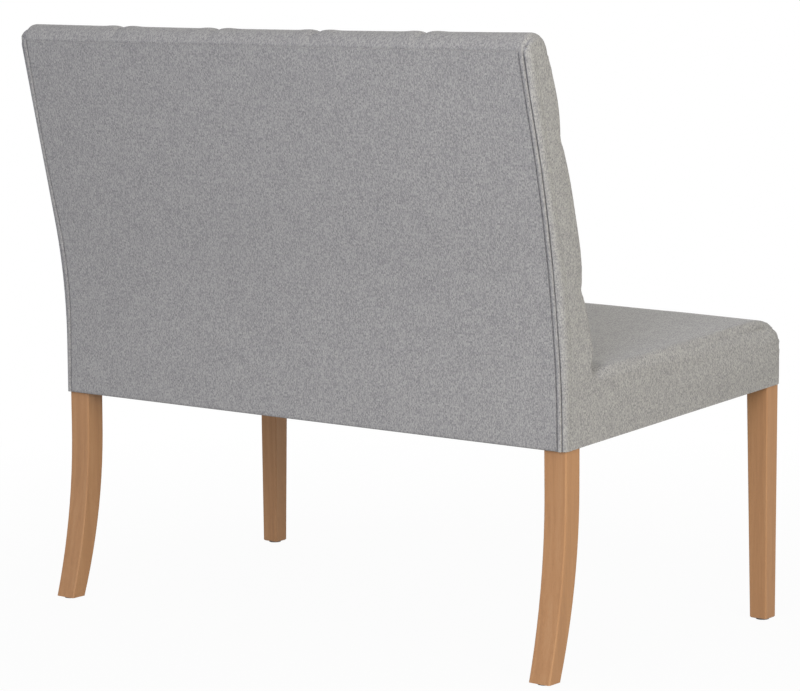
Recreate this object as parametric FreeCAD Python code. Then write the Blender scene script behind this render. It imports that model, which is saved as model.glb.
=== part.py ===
import FreeCAD, Part
import math
import os

# Chesterfield dining bench: a deep-buttoned raked back over a plain padded seat on four beech legs.
# Millimetres, +Z up. The origin is on the floor under the middle of the overall box.
# The bench faces -Y. Left is -X and right is +X, as seen by someone standing in front of it.

# Overall
overall_depth = 667.0
front_half_width = 553.0
rear_half_width = 522.5
back_height = 982.0
overrun = 30.0

# Rear line of the back: upright at the seat, then an arc, then a straight rake
bend_z = 440.0
rear_bend_radius = 950.0
rear_rake = math.radians(13.0)
panel_drop = 27.0

# Front line of the wooden back: it leans a little more, so the posts taper upwards
front_bend_radius = 800.0
front_rake = math.radians(14.6)

# Layers of the upholstery
cover_thickness = 2.5
rear_wadding_thickness = 3.0
rear_board_thickness = 3.0
tuft_board_thickness = 4.0
back_foam_thickness = 12.0
top_padding = 20.0
welt_width = 17.5
seam_gap = 0.3
seam_inset = 7.0
seam_width = 1.0
seam_depth = 1.4
panel_fold = 25.0

# Rear legs, each in one piece with its back post
post_depth = 37.0
post_width = 42.0
rear_foot_depth = 30.5
rear_foot_width = 39.0
rear_leg_splay = 43.0
splay_z = 292.0
leg_edge_radius = 2.0

# Front legs
front_leg_width = 39.5
front_leg_depth = 34.5
front_foot_width = 31.5
front_foot_depth = 30.0
foot_chamfer = 1.5

# Floor glides
glide_radius = 11.0
glide_height = 2.5
glide_nail_radius = 1.3
glide_nail_length = 16.0

# Seat: heights are taken upwards from its sloping lower edge
seat_edge_z = 353.7
seat_slope = math.radians(4.0)
seat_side_height = 104.0
seat_crown = 13.0
seat_edge_radius = 12.0
seat_corner_radius = 3.0
front_roll_depth = 70.0
front_roll_height = 58.0
seat_fold = 25.0

# Seat frame
rail_height = 45.0
rail_thickness = 25.0
side_rail_thickness = 22.0
centre_rail_width = 30.0
centre_rail_height = 32.0
block_reach = 60.0
block_height = 35.0
block_wall = 12.0
webbing_thickness = 1.5
webbing_width = 50.0
webbing_margin = 4.0
crosswise_count = 9
lengthwise_count = 3
dust_cover_thickness = 0.8
dust_cover_margin = 12.0
dust_cover_clearance = 2.0

# Back frame
top_rail_height = 55.0
lower_rail_height = 60.0
lower_rail_lift = 8.0
stile_width = 40.0
stile_x = 260.0

# Fixings
dowel_radius = 4.0
dowel_length = 40.0
stile_dowel_radius = 3.0
bolt_radius = 3.0
bolt_bite = 24.0
bolt_tail = 3.0
washer_radius = 8.0
washer_thickness = 1.6
nut_flats = 10.0
nut_height = 5.0
screw_radius = 2.0
screw_bite = 14.0
screw_head_radius = 4.0
screw_head_height = 3.0
screw_clearance = 0.3

# Tufts: two rows on the outer columns, and a row on the columns between them
column_pitch = 208.0
first_row_share = 0.31
row_pitch_share = 0.227
outer_column_shares = (-1.5, -0.5, 0.5, 1.5)
middle_column_shares = (-1.0, 0.0, 1.0)
button_radius = 13.0
button_rim = 2.0
button_height = 8.0
button_seat = 6.0
button_clearance = 0.3
shank_radius = 2.5
shank_length = 8.0
twine_radius = 1.2
twine_hole_radius = 3.0
foam_hole_radius = 12.0
toggle_radius = 9.0
toggle_thickness = 3.0

# Swell of the back cover, taken forwards from the front of the foam
tuft_depth = 5.0
pleat_rise = 9.0
tuft_crest = 36.0
pleat_floor = 15.0
brow_crest = 18.0
brow_pleat = 12.0
brow_drop = 25.0
side_swell = 18.0
side_brow = 13.0
side_dip_high = 8.0
side_dip_low = 4.0
crease_depth = 24.0
crease_sink = 30.0
back_edge_radius = 12.0
top_notch = 5.0
least_swell = 1.0
tuft_station_shares = (0.0, 0.14, 0.45, 0.8)
crown_station_shares = (0.9, 0.7, 0.4, 0.0)
round_share = 1.0 - math.sqrt(0.5)
edge_shares = ((0.0, 1.0), (round_share, round_share))
third_share = 1.0 / 3.0
dowel_height_shares = (0.25, 0.75)

x_axis = FreeCAD.Vector(1, 0, 0)
y_axis = FreeCAD.Vector(0, 1, 0)
z_axis = FreeCAD.Vector(0, 0, 1)
middle = FreeCAD.Vector(0, 0, 0)

# Places worked out from the sizes above
panel_top_z = back_height - panel_drop
frame_top_z = back_height - top_padding
rear_arc_rise = rear_bend_radius * math.sin(rear_rake)
rear_lean = rear_bend_radius * (1 - math.cos(rear_rake))
rear_lean += (panel_top_z - bend_z - rear_arc_rise) * math.tan(rear_rake)
front_face_y = -overall_depth / 2
rear_face_y = overall_depth / 2 - rear_lean
rear_layers = cover_thickness + rear_wadding_thickness + rear_board_thickness
post_rear_y = rear_face_y - rear_layers
post_front_y = post_rear_y - post_depth
front_leg_front_y = front_face_y + cover_thickness
front_leg_rear_y = front_leg_front_y + front_leg_depth
rail_low = cover_thickness
rail_top = rail_low + rail_height
foam_low = rail_top + 2 * webbing_thickness
side_inset = cover_thickness + side_rail_thickness
front_rail_rear_y = front_leg_front_y + rail_thickness
rear_rail_front_y = post_rear_y - rail_thickness
brow_z = back_height - brow_drop
padding_depth = tuft_board_thickness + back_foam_thickness


def seat_base(y):
    """Height of the seat's sloping lower edge."""
    return seat_edge_z + (rear_face_y - y) * math.tan(seat_slope)


def seat_half(y):
    """Half the width of the seat, which widens towards the front."""
    share = (rear_face_y - y) / (rear_face_y - front_face_y)
    return rear_half_width + (front_half_width - rear_half_width) * share


post_outer_x = min(rear_half_width, seat_half(post_front_y)) - cover_thickness
post_inner_x = post_outer_x - post_width
front_leg_outer_x = min(seat_half(front_leg_front_y), seat_half(front_leg_rear_y)) - cover_thickness
front_leg_inner_x = front_leg_outer_x - front_leg_width
seat_top_z = seat_base(post_front_y - padding_depth) + seat_side_height + seat_crown
board_low_z = seat_base(post_rear_y) + cover_thickness
lower_rail_z = seat_top_z + lower_rail_lift
stile_low_z = lower_rail_z + lower_rail_height
stile_high_z = frame_top_z - top_rail_height
crease_z = seat_top_z - crease_sink
back_rise = back_height - seat_top_z
row_high_z = back_height - back_rise * first_row_share
row_middle_z = row_high_z - back_rise * row_pitch_share
row_low_z = row_middle_z - back_rise * row_pitch_share


def lerp(start, end, share):
    return start + (end - start) * share


def dome(share):
    """Rounded rise from 0 to 1, steep at first and level at the end."""
    return math.sqrt(max(0.0, 1 - (1 - share) ** 2))


def mirrored(shape):
    return shape.mirror(middle, x_axis)


def both_sides(shapes):
    return shapes + [mirrored(shape) for shape in shapes]


# Lines of the back, each a face line, a bend radius and a rake
def rear_line(inset):
    return (rear_face_y - inset, rear_bend_radius + inset, rear_rake)


def front_line(outset):
    return (post_front_y - outset, front_bend_radius + outset, front_rake)


def line_y(line, z):
    face_y, radius, rake = line
    rise = z - bend_z
    arc_rise = radius * math.sin(rake)
    if rise <= 0:
        return face_y
    if rise <= arc_rise:
        return face_y + radius - math.sqrt(radius ** 2 - rise ** 2)
    return face_y + radius * (1 - math.cos(rake)) + (rise - arc_rise) * math.tan(rake)


def line_tilt(line, z):
    """Angle of a line of the back from upright, at one height."""
    radius, rake = line[1:]
    share = max(0.0, (z - bend_z) / radius)
    return min(rake, math.asin(min(1.0, share)))


def line_point(line, z):
    return FreeCAD.Vector(0, line_y(line, z), z)


def line_edges(line, start, end):
    """Edges along a line of the back between two heights, in that order."""
    low, high = min(start, end), max(start, end)
    arc_end = bend_z + line[1] * math.sin(line[2])
    stops = [low] + [z for z in (bend_z, arc_end) if low < z < high] + [high]
    if start > end:
        stops.reverse()
    edges = []
    for first, last in zip(stops, stops[1:]):
        halfway = (first + last) / 2
        ends = (line_point(line, first), line_point(line, last))
        if bend_z < halfway < arc_end:
            edges.append(Part.Arc(ends[0], line_point(line, halfway), ends[1]).toShape())
        else:
            edges.append(Part.LineSegment(*ends).toShape())
    return edges


def closed_face(edges):
    return Part.Face(Part.Wire(edges))


def segment(start, end):
    return Part.LineSegment(start, end).toShape()


def layer(front, rear, low, high, x_low, x_high):
    """Solid between two lines of the back and two heights."""
    edges = line_edges(front, low, high)
    edges.append(segment(line_point(front, high), line_point(rear, high)))
    edges += line_edges(rear, high, low)
    edges.append(segment(line_point(rear, low), line_point(front, low)))
    face = closed_face(edges)
    face.translate(x_axis * x_low)
    return face.extrude(x_axis * (x_high - x_low))


def slab(plan, low, high):
    """Solid over a plan, between two heights above the seat's sloping lower edge."""
    wires = []
    for height in (low, high):
        points = [FreeCAD.Vector(x, y, seat_base(y) + height) for x, y in plan]
        wires.append(Part.makePolygon(points + points[:1]))
    return Part.makeLoft(wires, True, True)


def plan_box(x_low, x_high, y_low, y_high):
    return [(x_low, y_low), (x_high, y_low), (x_high, y_high), (x_low, y_high)]


def rod(radius, start, end):
    run = end - start
    return Part.makeCylinder(radius, run.Length, start, run)


# Rear legs
def splay_arc(face_y, foot_y):
    """Arc from the upright face down and back past the foot, as its three points."""
    drop = splay_z - glide_height
    shift = foot_y - face_y
    radius = (drop ** 2 + shift ** 2) / (2 * shift)
    reach = drop + overrun
    points = []
    for fall in (0, reach / 2, reach):
        y = face_y + radius - math.sqrt(radius ** 2 - fall ** 2)
        points.append(FreeCAD.Vector(0, y, splay_z - fall))
    return points


def rear_leg():
    """Sawn leg and post, tapering on its inner face and running on past the floor."""
    foot_rear_y = post_rear_y + rear_leg_splay
    rear_arc = splay_arc(post_rear_y, foot_rear_y)
    front_arc = splay_arc(post_front_y, foot_rear_y - rear_foot_depth)
    rear, front = rear_line(rear_layers), front_line(0)
    edges = [Part.Arc(*front_arc[::-1]).toShape()]
    edges += line_edges(front, splay_z, frame_top_z)
    edges.append(segment(line_point(front, frame_top_z), line_point(rear, frame_top_z)))
    edges += line_edges(rear, frame_top_z, splay_z)
    edges.append(Part.Arc(*rear_arc).toShape())
    edges.append(segment(rear_arc[2], front_arc[2]))
    face = closed_face(edges)
    face.translate(x_axis * post_inner_x)
    leg = face.extrude(x_axis * post_width)
    low_z = glide_height - 2 * overrun
    taper = (post_width - rear_foot_width) / (seat_edge_z - glide_height)
    low_x = post_inner_x + taper * (seat_edge_z - low_z)
    outline = [
        (post_inner_x - overrun, seat_edge_z),
        (post_inner_x, seat_edge_z),
        (low_x, low_z),
        (post_inner_x - overrun, low_z),
    ]
    reach = post_depth + rear_leg_splay + 3 * overrun
    points = [FreeCAD.Vector(x, post_front_y - overrun, z) for x, z in outline]
    wedge = Part.Face(Part.makePolygon(points + points[:1])).extrude(y_axis * reach)
    return leg.cut(wedge)


def eased_leg(leg):
    """A rear leg with its long edges chamfered below the seat and its foot cut level."""
    eased = leg.makeChamfer(leg_edge_radius, long_edges(leg))
    wide = post_outer_x + overrun
    reach = post_depth + rear_leg_splay + 3 * overrun
    corner = FreeCAD.Vector(-wide, post_front_y - overrun, glide_height - 2 * overrun)
    return eased.cut(Part.makeBox(2 * wide, reach, 2 * overrun, corner))


def long_edges(leg):
    """Edges that run along a leg below the seat."""
    found = []
    for edge in leg.Edges:
        box = edge.BoundBox
        low_down = box.ZMax < bend_z and box.ZMin < splay_z
        if low_down and box.ZLength > box.XLength + box.YLength:
            found.append(edge)
    return found


def glide_places():
    """Middle of each foot on the right side."""
    rear_y = post_rear_y + rear_leg_splay - rear_foot_depth / 2
    rear_x = post_outer_x - rear_foot_width / 2
    front_x = front_leg_outer_x - front_foot_width / 2
    front_y = front_leg_front_y + front_foot_depth / 2
    return [(rear_x, rear_y), (front_x, front_y)]


def glide(x, y):
    place = FreeCAD.Vector(x, y, 0)
    nail = Part.makeCylinder(glide_nail_radius, glide_nail_length, place + z_axis * glide_height)
    return Part.makeCylinder(glide_radius, glide_height, place).fuse(nail).removeSplitter()


# Front legs
def rounded_rectangle(x_low, x_high, y_low, y_high, z, radius):
    """Rectangle with rounded corners, as lines and quarter arcs."""
    bow = radius * round_share
    corners = (
        (x_low, y_low, 1, 1),
        (x_high, y_low, -1, 1),
        (x_high, y_high, -1, -1),
        (x_low, y_high, 1, -1),
    )
    edges = []
    ends = []
    for number, (x, y, x_way, y_way) in enumerate(corners):
        along_x = FreeCAD.Vector(x + x_way * radius, y, z)
        along_y = FreeCAD.Vector(x, y + y_way * radius, z)
        half = FreeCAD.Vector(x + x_way * bow, y + y_way * bow, z)
        start, end = (along_y, along_x) if number % 2 == 0 else (along_x, along_y)
        if ends:
            edges.append(segment(ends[-1], start))
        edges.append(Part.Arc(start, half, end).toShape())
        ends += [start, end]
    edges.append(segment(ends[-1], ends[0]))
    return Part.Wire(edges)


def front_leg():
    """Square block inside the seat, tapering below it on the inner and rear faces."""
    seat_z = seat_base(front_leg_rear_y)
    top_z = seat_z + rail_top
    stations = (
        (glide_height, front_foot_width, front_foot_depth, foot_chamfer),
        (glide_height + foot_chamfer, front_foot_width, front_foot_depth, 0.0),
        (seat_z, front_leg_width, front_leg_depth, 0.0),
        (top_z, front_leg_width, front_leg_depth, 0.0),
    )
    wires = []
    for z, width, depth, inset in stations:
        wires.append(rounded_rectangle(
            front_leg_outer_x - width + inset, front_leg_outer_x - inset,
            front_leg_front_y + inset, front_leg_front_y + depth - inset, z, leg_edge_radius,
        ))
    return Part.makeLoft(wires, True, True)


# Seat frame
def rail_inner_x(y):
    return seat_half(y) - side_inset


def side_rail():
    plan = [
        (rail_inner_x(front_leg_rear_y), front_leg_rear_y),
        (seat_half(front_leg_rear_y) - cover_thickness, front_leg_rear_y),
        (seat_half(post_front_y) - cover_thickness, post_front_y),
        (rail_inner_x(post_front_y), post_front_y),
    ]
    return slab(plan, rail_low, rail_top + webbing_thickness)


def front_rail():
    plan = plan_box(-front_leg_inner_x, front_leg_inner_x, front_leg_front_y, front_rail_rear_y)
    return slab(plan, rail_low, rail_top)


def rear_rail():
    plan = plan_box(-post_inner_x, post_inner_x, rear_rail_front_y, post_rear_y)
    return slab(plan, rail_low, rail_top)


def centre_rail():
    half = centre_rail_width / 2
    plan = plan_box(-half, half, front_rail_rear_y, rear_rail_front_y)
    return slab(plan, rail_low, rail_low + centre_rail_height)


# Corner blocks with their bolts and screws, on the right side
def block_corner(at_front):
    """Inner corner of the leg, face of the cross rail, and which way the seat lies."""
    if at_front:
        return front_leg_inner_x, front_leg_rear_y, front_rail_rear_y, 1
    return post_inner_x, post_front_y, rear_rail_front_y, -1


def block_plan(at_front):
    leg_x, leg_y, rail_y, way = block_corner(at_front)
    reach_y = leg_y + way * block_reach
    return [
        (leg_x, rail_y),
        (leg_x - block_reach, rail_y),
        (rail_inner_x(reach_y), reach_y),
        (rail_inner_x(leg_y), leg_y),
        (leg_x, leg_y),
    ]


def block_middle(y):
    return seat_base(y) + rail_low + rail_height / 2


def corner_block(at_front):
    margin = (rail_height - block_height) / 2
    return slab(block_plan(at_front), rail_low + margin, rail_top - margin)


def bolt_line(at_front):
    """Inner corner of the leg, way into the leg, and run from there to the block's long face."""
    plan = block_plan(at_front)
    corner = FreeCAD.Vector(*plan[4], block_middle(plan[4][1]))
    first = FreeCAD.Vector(*plan[1], corner.z)
    second = FreeCAD.Vector(*plan[2], corner.z)
    along = (second - first).normalize()
    inward = along.cross(z_axis)
    run = inward.dot(corner - first)
    if run < 0:
        inward = inward * -1
        run = -run
    return corner, inward, run


def leg_bolt(at_front):
    corner, inward, run = bolt_line(at_front)
    tail = run + washer_thickness + nut_height + bolt_tail
    return rod(bolt_radius, corner - inward * tail, corner + inward * bolt_bite)


def bolt_washer(at_front):
    corner, inward, run = bolt_line(at_front)
    seat = corner - inward * run
    ring = rod(washer_radius, seat, seat - inward * washer_thickness)
    return ring.cut(leg_bolt(at_front))


def bolt_nut(at_front):
    corner, inward, run = bolt_line(at_front)
    seat = corner - inward * (run + washer_thickness)
    turn = FreeCAD.Rotation(z_axis, inward * -1)
    points = []
    for side in range(6):
        angle = math.radians(60 * side)
        ray = FreeCAD.Vector(math.cos(angle), math.sin(angle), 0) * (nut_flats / math.sqrt(3))
        points.append(seat + turn.multVec(ray))
    face = Part.Face(Part.makePolygon(points + points[:1]))
    return face.extrude(inward * -nut_height).cut(leg_bolt(at_front))


def block_screw_lines(at_front):
    """Seat of each screw head and its way, one into each rail."""
    leg_x, leg_y, rail_y, way = block_corner(at_front)
    rail_x = leg_x - block_reach * third_share
    side_y = leg_y + way * block_reach * third_share
    into_cross = FreeCAD.Vector(0, -way, 0)
    cross_face = FreeCAD.Vector(rail_x, rail_y, block_middle(rail_y))
    side_face = FreeCAD.Vector(rail_inner_x(side_y), side_y, block_middle(side_y))
    return [(cross_face - into_cross * block_wall, into_cross), (side_face - x_axis * block_wall, x_axis)]


def block_screw(seat, way):
    shank = rod(screw_radius, seat, seat + way * (block_wall + screw_bite))
    head = rod(screw_head_radius, seat, seat - way * screw_head_height)
    return shank.fuse(head).removeSplitter()


def screw_bore(seat, way):
    """Counterbore for a screw head, open towards the middle of the seat."""
    return rod(screw_head_radius + screw_clearance, seat, seat - way * block_reach)


# Webbing and dust cover
def crosswise_webbing():
    """Straps from the front rail to the rear rail, fanning with the seat."""
    half = webbing_width / 2
    front_y = front_leg_front_y + webbing_margin
    rear_y = post_rear_y - webbing_margin
    front_reach = front_leg_inner_x - half - webbing_margin
    rear_reach = post_inner_x - half - webbing_margin
    straps = []
    for number in range(crosswise_count):
        side_share = 2 * number / (crosswise_count - 1) - 1
        front_x, rear_x = front_reach * side_share, rear_reach * side_share
        front_end = [(front_x - half, front_y), (front_x + half, front_y)]
        rear_end = [(rear_x + half, rear_y), (rear_x - half, rear_y)]
        straps.append(slab(front_end + rear_end, rail_top, rail_top + webbing_thickness))
    return straps


def lengthwise_webbing():
    half = webbing_width / 2
    straps = []
    for number in range(lengthwise_count):
        y = lerp(front_rail_rear_y, rear_rail_front_y, (number + 1) / (lengthwise_count + 1))
        ends = [(seat_half(end) - cover_thickness - webbing_margin, end) for end in (y - half, y + half)]
        plan = ends + [(-x, end) for x, end in reversed(ends)]
        straps.append(slab(plan, rail_top + webbing_thickness, foam_low))
    return straps


def dust_cover():
    """Thin cloth under the frame, cut round the four legs."""
    gap = dust_cover_clearance
    front_y = front_leg_rear_y + gap
    rear_y = post_front_y - gap
    right = [
        (front_leg_inner_x - gap, front_face_y + dust_cover_margin),
        (front_leg_inner_x - gap, front_y),
        (seat_half(front_y) - dust_cover_margin, front_y),
        (seat_half(rear_y) - dust_cover_margin, rear_y),
        (post_inner_x - gap, rear_y),
        (post_inner_x - gap, rear_face_y - dust_cover_margin),
    ]
    left = [(-x, y) for x, y in reversed(right)]
    return slab(right + left, -dust_cover_thickness, 0)


# Seat cushion: lofted across the bench through upright sections that fan out with its sides
def seat_section(share, inset, low, rear_y, drop, corner):
    top = seat_side_height + seat_crown * (1 - share ** 2) - inset - drop
    front_y = front_face_y + inset + corner
    roll_y = front_y + front_roll_depth
    roll_low = top - front_roll_height

    def point(y, height):
        return FreeCAD.Vector(share * (seat_half(y) - inset), y, seat_base(y) + height)

    roll_start = point(front_y, roll_low)
    roll_half = point(front_y + front_roll_depth * round_share, top - front_roll_height * round_share)
    roll_end = point(roll_y, top)
    corners = (point(rear_y, top), point(rear_y, low), point(front_y, low))
    return Part.Wire([
        Part.Arc(roll_start, roll_half, roll_end).toShape(),
        segment(roll_end, corners[0]),
        segment(corners[0], corners[1]),
        segment(corners[1], corners[2]),
        segment(corners[2], roll_start),
    ])


def seat_solid(inset, low, rear_y):
    """Crowned seat with rounded side edges and a rolled front."""
    radius = seat_edge_radius - inset
    sections = []
    for inset_share, fall_share in edge_shares + ((1.0, 0.0),):
        side_share = 1 - radius * inset_share / front_half_width
        sections.append((side_share, radius * fall_share, seat_corner_radius * fall_share))
    sections += [(share, 0.0, 0.0) for share in crown_station_shares]
    sections += [(-share, drop, corner) for share, drop, corner in reversed(sections[:-1])]
    wires = [seat_section(share, inset, low, rear_y, drop, corner) for share, drop, corner in sections]
    return Part.makeLoft(wires, True, True)


def fold_opening():
    """Open middle of the seat's underside, inside the folded edge of its cover."""
    front_y = front_face_y + seat_fold
    rear_y = rear_face_y + overrun
    right = [(seat_half(front_y) - seat_fold, front_y), (seat_half(rear_y) - seat_fold, rear_y)]
    left = [(-x, y) for x, y in reversed(right)]
    return slab(right + left, -overrun, cover_thickness)


def behind_seat():
    """Room that the posts and the back take between the sides of the seat cover."""
    depth = rear_face_y - post_front_y + overrun
    corner = FreeCAD.Vector(-post_outer_x, post_front_y, 0)
    return Part.makeBox(2 * post_outer_x, depth, back_height, corner)


def seat_foam():
    """Filling of the seat, from the webbing up."""
    wide = max(front_half_width, rear_half_width) + overrun
    below = slab(plan_box(-wide, wide, front_face_y - overrun, rear_face_y), -overrun, foam_low)
    return seat_solid(cover_thickness, cover_thickness, post_front_y).cut(below)


def seat_cover(outer, front_legs):
    inner = seat_solid(cover_thickness, cover_thickness, rear_face_y + overrun)
    return outer.cut(inner).cut([fold_opening(), behind_seat()] + front_legs)


# Back: the buttoned cover is lofted across the bench through upright sections
def tuft_section(x, high, low, swells, brow, top_z):
    """One section: high and low are the height and depth of its two pleats, swells the three pads'."""
    foam = front_line(padding_depth)

    def point(z, depth):
        return FreeCAD.Vector(x, line_y(foam, z) - depth, z)

    def pad(start, end, swell):
        halfway = (start[0] + end[0]) / 2
        least = (start[1] + end[1]) / 2 + least_swell
        return Part.Arc(point(*start), point(halfway, max(swell, least)), point(*end)).toShape()

    crease = (crease_z, swells[3])
    seam = FreeCAD.Vector(x, line_y(rear_line(0), panel_top_z), panel_top_z)
    brow_point = point(brow_z, brow)
    top = FreeCAD.Vector(x, (brow_point.y + seam.y) / 2, top_z)
    far_top = FreeCAD.Vector(x, rear_face_y + rear_lean + overrun, panel_top_z)
    far_low = FreeCAD.Vector(x, far_top.y, crease_z)
    return Part.Wire([
        pad(crease, low, swells[2]),
        pad(low, high, swells[1]),
        pad(high, (brow_z, brow), swells[0]),
        Part.Arc(brow_point, top, seam).toShape(),
        segment(seam, far_top),
        segment(far_top, far_low),
        segment(far_low, point(*crease)),
    ])


def inner_tuft_section(x, share):
    """Section at a share of the way from an outer column of buttons to a middle one."""
    pleat = tuft_depth + pleat_rise * math.sin(math.pi * share)
    high = (lerp(row_high_z, row_middle_z + button_radius, share), pleat)
    low = (lerp(row_low_z, row_middle_z - button_radius, share), pleat)
    beside = lerp(pleat_floor, tuft_crest, dome(share))
    between = lerp(pleat, tuft_crest, dome(1 - share))
    brow = lerp(brow_pleat, brow_crest, dome(share))
    top_z = back_height - (top_notch if share == 0 else 0.0)
    return tuft_section(x, high, low, (beside, between, beside, crease_depth), brow, top_z)


def outer_tuft_section(x, side, fall):
    """Section beyond the outermost column: level pleats run out to the side, and the edge rounds off."""
    run = rear_half_width - column_pitch * outer_column_shares[-1]
    share = (abs(x) - column_pitch * outer_column_shares[-1]) / run
    rise = dome(min(1.0, 2 * share))
    swell = lerp(tuft_crest, side_swell, share ** 2) - fall
    swept = lerp(pleat_floor, swell, rise)
    ripple = pleat_rise * math.sin(math.pi * share)
    high = (row_high_z, lerp(tuft_depth, side_dip_high, share) + ripple - fall * round_share)
    low = (row_low_z, lerp(tuft_depth, side_dip_low, share) + ripple - fall * round_share)
    brow = lerp(brow_pleat, side_brow, rise) - fall
    crease = crease_depth - fall
    top_z = back_height - fall * round_share
    return tuft_section(side * abs(x), high, low, (swept, swell, swept, crease), brow, top_z)


def tuft_stations():
    """Sections from the left side to the right side."""
    last = outer_column_shares[-1] * column_pitch
    edges = [last + column_pitch / 2 * share for share in tuft_station_shares[1:]]
    edges.append(rear_half_width - back_edge_radius)
    right = [outer_tuft_section(x, 1, 0.0) for x in edges]
    left = [outer_tuft_section(x, -1, 0.0) for x in edges]
    for inset_share, fall_share in reversed(edge_shares):
        x = rear_half_width - back_edge_radius * inset_share
        right.append(outer_tuft_section(x, 1, back_edge_radius * fall_share))
        left.append(outer_tuft_section(x, -1, back_edge_radius * fall_share))
    rising = [(share, share) for share in tuft_station_shares]
    falling = [(0.0, 1.0)] + [(1 - share, share) for share in reversed(tuft_station_shares[1:])]
    inner = []
    for number in range(2 * (len(outer_column_shares) - 1)):
        start = -last + number * column_pitch / 2
        for way, share in (falling if number % 2 else rising):
            inner.append(inner_tuft_section(start + way * column_pitch / 2, share))
    inner.append(inner_tuft_section(last, 0.0))
    return left[::-1] + inner + right


def button_places():
    """Column, height and outward way of each button on the front of the foam."""
    foam = front_line(padding_depth)
    places = []
    rows = (
        (row_high_z, outer_column_shares),
        (row_middle_z, middle_column_shares),
        (row_low_z, outer_column_shares),
    )
    for z, columns in rows:
        tilt = line_tilt(foam, z)
        out = FreeCAD.Vector(0, -math.cos(tilt), math.sin(tilt))
        for column in columns:
            places.append((FreeCAD.Vector(column * column_pitch, line_y(foam, z), z), out))
    return places


def tuft_button(place, out):
    """Domed button with a shank."""
    rise = button_height - button_rim
    radius = (button_radius ** 2 + rise ** 2) / (2 * rise)
    tilt = math.asin(button_radius / radius) / 2
    rim = FreeCAD.Vector(button_radius, 0, button_rim)
    bow = FreeCAD.Vector(radius * math.sin(tilt), 0, button_height - radius * (1 - math.cos(tilt)))
    crown = FreeCAD.Vector(0, 0, button_height)
    edge = FreeCAD.Vector(button_radius, 0, 0)
    neck = FreeCAD.Vector(shank_radius, 0, 0)
    tip = FreeCAD.Vector(shank_radius, 0, -shank_length)
    tail = FreeCAD.Vector(0, 0, -shank_length)
    face = closed_face([
        segment(tail, tip), segment(tip, neck), segment(neck, edge), segment(edge, rim),
        Part.Arc(rim, bow, crown).toShape(), segment(crown, tail),
    ])
    button = face.revolve(middle, z_axis, 360)
    button.Placement = FreeCAD.Placement(place + out * button_seat, FreeCAD.Rotation(z_axis, out))
    return button


def tuft_twine(place, out):
    return rod(twine_radius, place + out * (button_seat - shank_length), place - out * padding_depth)


def tuft_toggle(place, out):
    seat = place - out * padding_depth
    return rod(toggle_radius, seat, seat - out * toggle_thickness)


def cap_pocket(place, out):
    seat = place + out * button_seat
    return rod(button_radius + button_clearance, seat, seat + out * (tuft_crest + overrun))


def shank_hole(place, out):
    return rod(shank_radius, place - out * overrun, place + out * button_seat)


def back_core():
    """Room inside the back cover for the frame, the board, the foam and the rear layers."""
    low = crease_z - overrun
    far = rear_line(-overall_depth)
    wide = rear_half_width + overrun
    foam, frame, panel = front_line(padding_depth), rear_line(rear_layers), rear_line(cover_thickness)
    return [
        layer(foam, frame, low, frame_top_z, -post_outer_x, post_outer_x),
        layer(frame, panel, low, panel_top_z, -post_outer_x, post_outer_x),
        layer(panel, far, low, panel_top_z, -wide, wide),
    ]


def back_cover(seat_outer):
    body = Part.makeLoft(tuft_stations(), True, True)
    cuts = back_core() + [seat_outer]
    for place, out in button_places():
        cuts += [cap_pocket(place, out), shank_hole(place, out)]
    return body.cut(cuts)


def back_foam():
    board, foam = front_line(tuft_board_thickness), front_line(padding_depth)
    pad = layer(foam, board, seat_top_z, frame_top_z, -post_outer_x, post_outer_x)
    return pad.cut([rod(foam_hole_radius, place - out * padding_depth * 2, place + out * overrun)
                    for place, out in button_places()])


def tuft_board():
    frame, board = front_line(0), front_line(tuft_board_thickness)
    sheet = layer(board, frame, seat_top_z, frame_top_z, -post_outer_x, post_outer_x)
    return sheet.cut([rod(twine_hole_radius, place - out * padding_depth * 2, place + out * overrun)
                      for place, out in button_places()])


def back_member(low, high, x_low, x_high):
    return layer(front_line(0), rear_line(rear_layers), low, high, x_low, x_high)


# Rear panel and its corner strips
def rear_sheet(outer, inner, low, half):
    return layer(rear_line(inner), rear_line(outer), low, panel_top_z, -half, half)


def rear_panel():
    half = rear_half_width - welt_width - seam_gap
    sheet = rear_sheet(0, cover_thickness, seat_edge_z, half)
    plan = plan_box(-post_inner_x, post_inner_x, rear_face_y - panel_fold, rear_face_y)
    return sheet.fuse(slab(plan, 0, cover_thickness)).removeSplitter()


def corner_welt():
    """Strip round the rear corner, with a sunk seam along it."""
    inner_x = rear_half_width - welt_width
    seam_x = rear_half_width - seam_inset
    inner, outer = rear_line(cover_thickness), rear_line(0)
    strip = layer(inner, outer, seat_edge_z, panel_top_z, inner_x, rear_half_width)
    sunk, clear = rear_line(seam_depth), rear_line(-overrun)
    low, high = seat_edge_z - overrun, panel_top_z + overrun
    return strip.cut(layer(sunk, clear, low, high, seam_x - seam_width, seam_x))


# Dowels, as end points
def post_middle(z):
    front, rear = front_line(0), rear_line(rear_layers)
    return (line_y(front, z) + line_y(rear, z)) / 2


def seat_dowels():
    """Dowels of the seat frame on the right side."""
    half = dowel_length / 2
    rods = []
    for share in dowel_height_shares:
        height = rail_low + rail_height * share
        for x, y in ((front_leg_inner_x, front_leg_front_y + rail_thickness / 2),
                     (post_inner_x, post_rear_y - rail_thickness / 2)):
            place = FreeCAD.Vector(x, y, seat_base(y) + height)
            rods.append(rod(dowel_radius, place - x_axis * half, place + x_axis * half))
        for y in (front_leg_rear_y, post_front_y):
            x = seat_half(y) - cover_thickness - side_rail_thickness / 2
            place = FreeCAD.Vector(x, y, seat_base(y) + height)
            rods.append(rod(dowel_radius, place - y_axis * half, place + y_axis * half))
    return rods


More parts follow.
